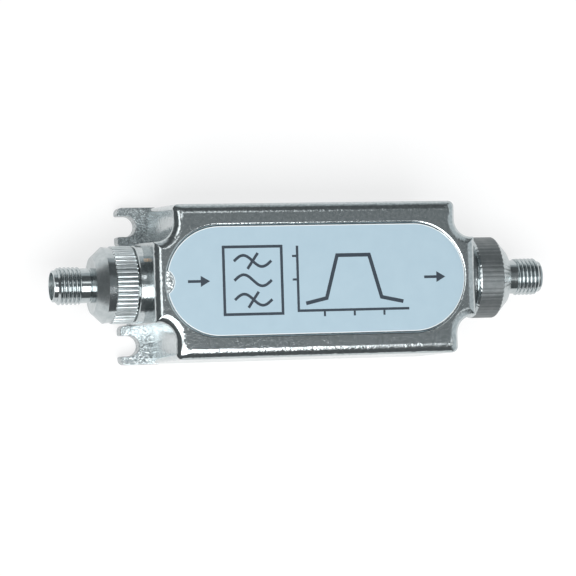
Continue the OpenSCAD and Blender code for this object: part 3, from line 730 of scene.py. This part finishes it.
def cast_nickel():
    """Bright nickel over a tumbled casting: orange peel all over, and a rougher skin on the ears."""
    mat, tree, shader = material("nickel_over_casting", 0.15, 1.0)
    place = object_place(tree)
    split = add(tree, "ShaderNodeSeparateXYZ", {"Vector": place})
    # The rougher skin covers the input end as high as the ears, and not the foot of the long sides
    on_ears = calculate(
        tree, "MULTIPLY",
        mapped(tree, split.outputs["Z"], (EAR_HEIGHT + 0.1) * MM, (EAR_HEIGHT + 0.9) * MM, 1, 0, "low down"),
        mapped(tree, split.outputs["X"], -24.8 * MM, -24.2 * MM, 1, 0, "input end"), "on the ears")
    tone = two_tone(tree, noise(tree, place, 1900, 4, 0.7, "tone"), 0.32, 0.68,
                    (0.43, 0.475, 0.485), (0.58, 0.625, 0.635))
    pits = two_tone(tree, noise(tree, place, 3100, 1, label="pits"), 0.4, 0.6, (0.58, 0.59, 0.6), (1, 1, 1))
    skin = add(tree, "ShaderNodeMix", data_type="RGBA", blend_type="MULTIPLY", label="duller skin")
    for key, value in (("A", tone), ("B", pits), ("Factor", on_ears)):
        tree.links.new(value, skin.inputs[key])
    # A warm highlight painted in brass colour on the input boss
    painted_glint = add(tree, "ShaderNodeVectorMath", {0: place, 1: (-28.2 * MM, 3.85 * MM, 15.25 * MM)},
              operation="DISTANCE", label="distance from the rub")
    brass = add(tree, "ShaderNodeMix", data_type="RGBA", label="brass rub")
    brass.inputs["B"].default_value = (0.92, 0.74, 0.6, 1)
    tree.links.new(skin.outputs["Result"], brass.inputs["A"])
    tree.links.new(mapped(tree, painted_glint.outputs["Value"], 0.3 * MM, 0.5 * MM, 1, 0, "rub share"),
                   brass.inputs["Factor"])
    tree.links.new(brass.outputs["Result"], shader.inputs["Base Color"])
    tree.links.new(mapped(tree, on_ears, 0, 1, 0.15, 0.27, "skin"), shader.inputs["Roughness"])
    # The grain lies over the orange peel, and both are deeper on the ears
    peel = calculate(tree, "MULTIPLY", noise(tree, place, 1150, 1.5, label="orange peel"),
                     mapped(tree, on_ears, 0, 1, 1, 1.3, "skin depth"), "deeper skin")
    wave = bump(tree, peel, 1, 0.03 * MM, "orange peel")
    fine = bump(tree, noise(tree, place, 2700, 2, 0.6, "grain"),
                mapped(tree, on_ears, 0, 1, 0.3, 0.85, "grain depth"), 0.07 * MM, "grain")
    tree.links.new(wave.outputs["Normal"], fine.inputs["Normal"])
    tree.links.new(fine.outputs["Normal"], shader.inputs["Normal"])
    return mat


def turned_nickel(name, roughness, level=1.0):
    """Nickel over turned brass, with fine tool marks that run round the connector axis."""
    mat, tree, shader = material(name, roughness, 1.0)
    place = object_place(tree)
    from_axis = add(tree, "ShaderNodeMapping", {"Vector": place, "Location": (0, 0, -AXIS_Z * MM)})
    split = add(tree, "ShaderNodeSeparateXYZ", {"Vector": from_axis.outputs["Vector"]})
    across = add(tree, "ShaderNodeVectorMath", {0: from_axis.outputs["Vector"], 1: (0, 1, 1)},
                 operation="MULTIPLY")
    radius = add(tree, "ShaderNodeVectorMath", {0: across.outputs["Vector"]}, operation="LENGTH")
    rings = add(tree, "ShaderNodeCombineXYZ", {"X": split.outputs["X"], "Y": radius.outputs["Value"]})
    marks = bump(tree, noise(tree, rings.outputs["Vector"], 5200, 2), 0.18, 0.03 * MM, "tool marks")
    tree.links.new(marks.outputs["Normal"], shader.inputs["Normal"])
    dark, light = ([level * v for v in colour] for colour in ((0.42, 0.465, 0.475), (0.55, 0.59, 0.60)))
    tree.links.new(two_tone(tree, noise(tree, place, 700, 3, 0.6), 0.3, 0.7, dark, light),
                   shader.inputs["Base Color"])
    return mat


def speckled(name, dark, light, roughness, scale=900.0, metallic=0.0, depth=0.02, strength=0.2, coat=0.0):
    """A finish whose tone wanders between two colours over a fine, shallow grain."""
    mat, tree, shader = material(name, roughness, metallic)
    shader.inputs["Coat Weight"].default_value = coat
    place = object_place(tree)
    tree.links.new(two_tone(tree, noise(tree, place, scale, 3, 0.6), 0.3, 0.7, dark, light),
                   shader.inputs["Base Color"])
    grain = bump(tree, noise(tree, place, scale * 5, 2), strength, depth * MM, "grain")
    tree.links.new(grain.outputs["Normal"], shader.inputs["Normal"])
    return mat


def dress(obj, mat):
    obj.data.materials.clear()
    obj.data.materials.append(mat)


# Camera and light first, then the pieces

def camera():
    """A camera fitted to edges that were measured in the photo."""
    turn, tilt, roll = math.radians(16.31), math.radians(1.7), math.radians(-1.72)
    aim, distance, lift = Vector((-2.4, 0, AXIS_Z)), 480.9, -1.09
    look = Vector((-math.sin(turn) * math.cos(tilt), -math.sin(tilt), math.cos(turn) * math.cos(tilt)))
    side = Vector((math.cos(turn), 0, math.sin(turn)))
    up = look.cross(side)
    right = math.cos(roll) * side + math.sin(roll) * up
    upward = -math.sin(roll) * side + math.cos(roll) * up
    place = aim + distance * look + lift * upward
    deselect_all()
    bpy.ops.object.camera_add()
    cam = bpy.context.active_object
    cam.name = "camera"
    cam.matrix_world = Matrix((
        (right.x, upward.x, look.x, place.x * MM),
        (right.y, upward.y, look.y, place.y * MM),
        (right.z, upward.z, look.z, place.z * MM),
        (0, 0, 0, 1)))
    cam.data.lens = 177.8
    cam.data.sensor_width = 36
    cam.data.clip_start, cam.data.clip_end = 0.01, 20
    bpy.context.scene.camera = cam


def softbox(name, x0, x1, y0, y1, radiance):
    """A flat panel of light one metre overhead, over the given span in metres."""
    deselect_all()
    bpy.ops.object.light_add(type="AREA", location=((x0 + x1) / 2, (y0 + y1) / 2, 1.0))
    lamp = bpy.context.active_object
    lamp.name = name
    lamp.data.shape = "RECTANGLE"
    lamp.data.size, lamp.data.size_y = x1 - x0, y1 - y0
    lamp.data.energy = radiance * math.pi * (x1 - x0) * (y1 - y0)


def room():
    """A dim room, paler overhead, to the right and, low down, behind the object."""
    world = bpy.data.worlds.new("studio")
    bpy.context.scene.world = world
    world.use_nodes = True
    tree = world.node_tree
    direction = add(tree, "ShaderNodeTexCoord").outputs["Generated"]
    split = add(tree, "ShaderNodeSeparateXYZ", {"Vector": direction})
    level = mapped(tree, split.outputs["Z"], 0.78, 0.90, 0.13, 0.25, "paler overhead")
    for name, axis, low, high, more in (("to the right", "X", 0.48, 0.68, 0.62),
                                        ("behind", "Y", 0.86, 0.95, 0.5)):
        level = calculate(tree, "ADD", mapped(tree, split.outputs[axis], low, high, 0, more, "paler " + name),
                          level, "room level")
    background = tree.nodes["Background"]
    background.inputs["Color"].default_value = (0.94, 1.0, 1.03, 1)
    tree.links.new(level, background.inputs["Strength"])


def white_floor():
    """A white table. It glows a little where the camera or a mirror sees it, and shadows on it stay."""
    deselect_all()
    bpy.ops.mesh.primitive_plane_add(size=3, location=(0, 0, -0.1 * MM))
    floor = named("floor")
    mat, tree, shader = material("white_table", 0.8)
    shader.inputs["Base Color"].default_value = (0.3, 0.3, 0.3, 1)
    shader.inputs["Specular IOR Level"].default_value = 0.0
    shader.inputs["Emission Color"].default_value = (1, 1, 1, 1)
    path = add(tree, "ShaderNodeLightPath")
    seen = calculate(tree, "ADD", path.outputs["Is Camera Ray"], path.outputs["Is Glossy Ray"],
                     "camera or mirror")
    seen = calculate(tree, "ADD", seen, path.outputs["Is Transmission Ray"], "or glass")
    tree.links.new(calculate(tree, "MULTIPLY", seen, 0.73, "glow"), shader.inputs["Emission Strength"])
    dress(floor, mat)
    return floor


camera()
softbox("panel_left", -0.80, -0.38, -0.14, 0.60, 1.8)
softbox("panel_near", -0.80, 0.30, -0.85, -0.14, 4.8)
softbox("panel_far", -0.14, 0.27, 0.25, 0.45, 1.4)
softbox("panel_right", 0.46, 0.62, -0.50, -0.10, 1.0)
room()
floor = white_floor()

nickel_turned = turned_nickel("nickel_over_turned_brass", 0.14)
# The input ring's crests and the jacks' bores: satin nickel painted lighter, as a highlight
nickel_painted_lighter_as_highlight = turned_nickel("satin_nickel_painted_lighter_as_highlight", 0.3, 1.35)
nickel_brushed = turned_nickel("brushed_nickel_on_cone", 0.27)
# The output ring: dull nickel painted darker, as the shade it shows
nickel_painted_darker_as_shade = turned_nickel("dull_nickel_painted_darker_as_shade", 0.5, 0.45)
# Flute floors: the nickel painted dark, as the shade that falls in the grooves
painted_shade_in_flutes = speckled("nickel_with_painted_shade_in_flutes", (0.10, 0.11, 0.115), (0.2, 0.22, 0.225), 0.45, 1500.0, 1.0)
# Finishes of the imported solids, by the start or the end of a node's name
FINISHES = {
    "rear_cover": speckled("tinned_plate", (0.5, 0.52, 0.53), (0.64, 0.66, 0.66), 0.32, 500.0, 1.0),
    "label": speckled("label_film", (0.445, 0.59, 0.68), (0.468, 0.614, 0.702), 0.35, 300.0, strength=0.05),
    "dielectric": speckled("white_sleeve", (0.83, 0.83, 0.8), (0.9, 0.9, 0.88), 0.45),
    "insulator": speckled("natural_plastic", (0.74, 0.7, 0.58), (0.82, 0.79, 0.68), 0.5),
    "contact": speckled("gold_plate", (0.72, 0.48, 0.16), (0.86, 0.62, 0.26), 0.22, metallic=1.0),
    "circuit_board": speckled("board_resist", (0.02, 0.13, 0.05), (0.03, 0.18, 0.08), 0.4, 400.0),
    "board_screws": speckled("zinc_plate", (0.5, 0.52, 0.54), (0.68, 0.69, 0.7), 0.3, metallic=1.0),
    "coil": speckled("enamelled_copper", (0.5, 0.16, 0.06), (0.68, 0.27, 0.11), 0.25, metallic=1.0, coat=0.4),
    "capacitor": speckled("chip_body", (0.28, 0.17, 0.09), (0.38, 0.25, 0.14), 0.45),
    "partition": speckled("tinned_sheet", (0.5, 0.52, 0.53), (0.66, 0.68, 0.68), 0.3, 500.0, 1.0),
}
# The beads are of the insulators' plastic. The replaced nodes get it too, but aren't seen.
for node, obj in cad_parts.items():
    key = next((k for k in FINISHES if node.startswith(k) or node.endswith(k)), "insulator")
    dress(obj, FINISHES[key])

box = cast_box()
dress(box, cast_nickel())
# The pad and its pip keep the coarser skin of the casting, and are painted lighter than the rest as a
# highlight
box.data.materials.append(speckled("coarse_nickel_painted_lighter", (0.5, 0.545, 0.55), (0.72, 0.76, 0.765), 0.3,
                                   scale=260.0, metallic=1.0, depth=0.25, strength=1.0))
edit(box)
paint(box, 1, lambda c: RECESS_FLOOR + 0.05 < c.z < HEIGHT - 0.1 and -RECESS_X + 0.15 < c.x < -20
      and math.hypot(c.x + PAD_X, c.y) < PAD_R + NEAR)
leave()
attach(box, "root")
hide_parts("housing")

# Painted light on the adapters: the input ring's crests and the jacks' bores get nickel painted lighter as a
# highlight, the input ring's flute floors painted shade, and the whole output ring nickel painted darker as
# shade
for name, node, on_ring, sizes in (
        ("input_adapter", "adapter_in_body", (nickel_painted_lighter_as_highlight, painted_shade_in_flutes),
         dict(side=-1, ring_r=6.475, knurl=3.6, band=1.4, band_r=6.375, cone=1.8, flutes=50, depth=0.22,
              chamfer=0.16)),
        ("output_adapter", "adapter_out_body", (nickel_painted_darker_as_shade, nickel_painted_darker_as_shade),
         dict(side=1, ring_r=6.95, knurl=4.4, band=0, band_r=6.95, cone=2.05, flutes=54, depth=0.03,
              chamfer=0.36))):
    shell = knurled_shell(name, (nickel_turned, *on_ring, nickel_brushed, nickel_painted_lighter_as_highlight), **sizes)
    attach(shell, "root")
    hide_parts(node)

marks = label_print()
dress(marks, speckled("navy_ink", (0.022, 0.037, 0.055), (0.03, 0.048, 0.07), 0.45))
rim = label_edge()
# The white edge line: the film's core, with the edge's highlight painted into it
dress(rim, speckled("film_core_and_painted_edge_highlight", (0.84, 0.9, 0.92), (0.9, 0.95, 0.96), 0.5))
for piece in (marks, rim):
    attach(piece, "root")

bpy.context.scene.view_settings.view_transform = "Standard"
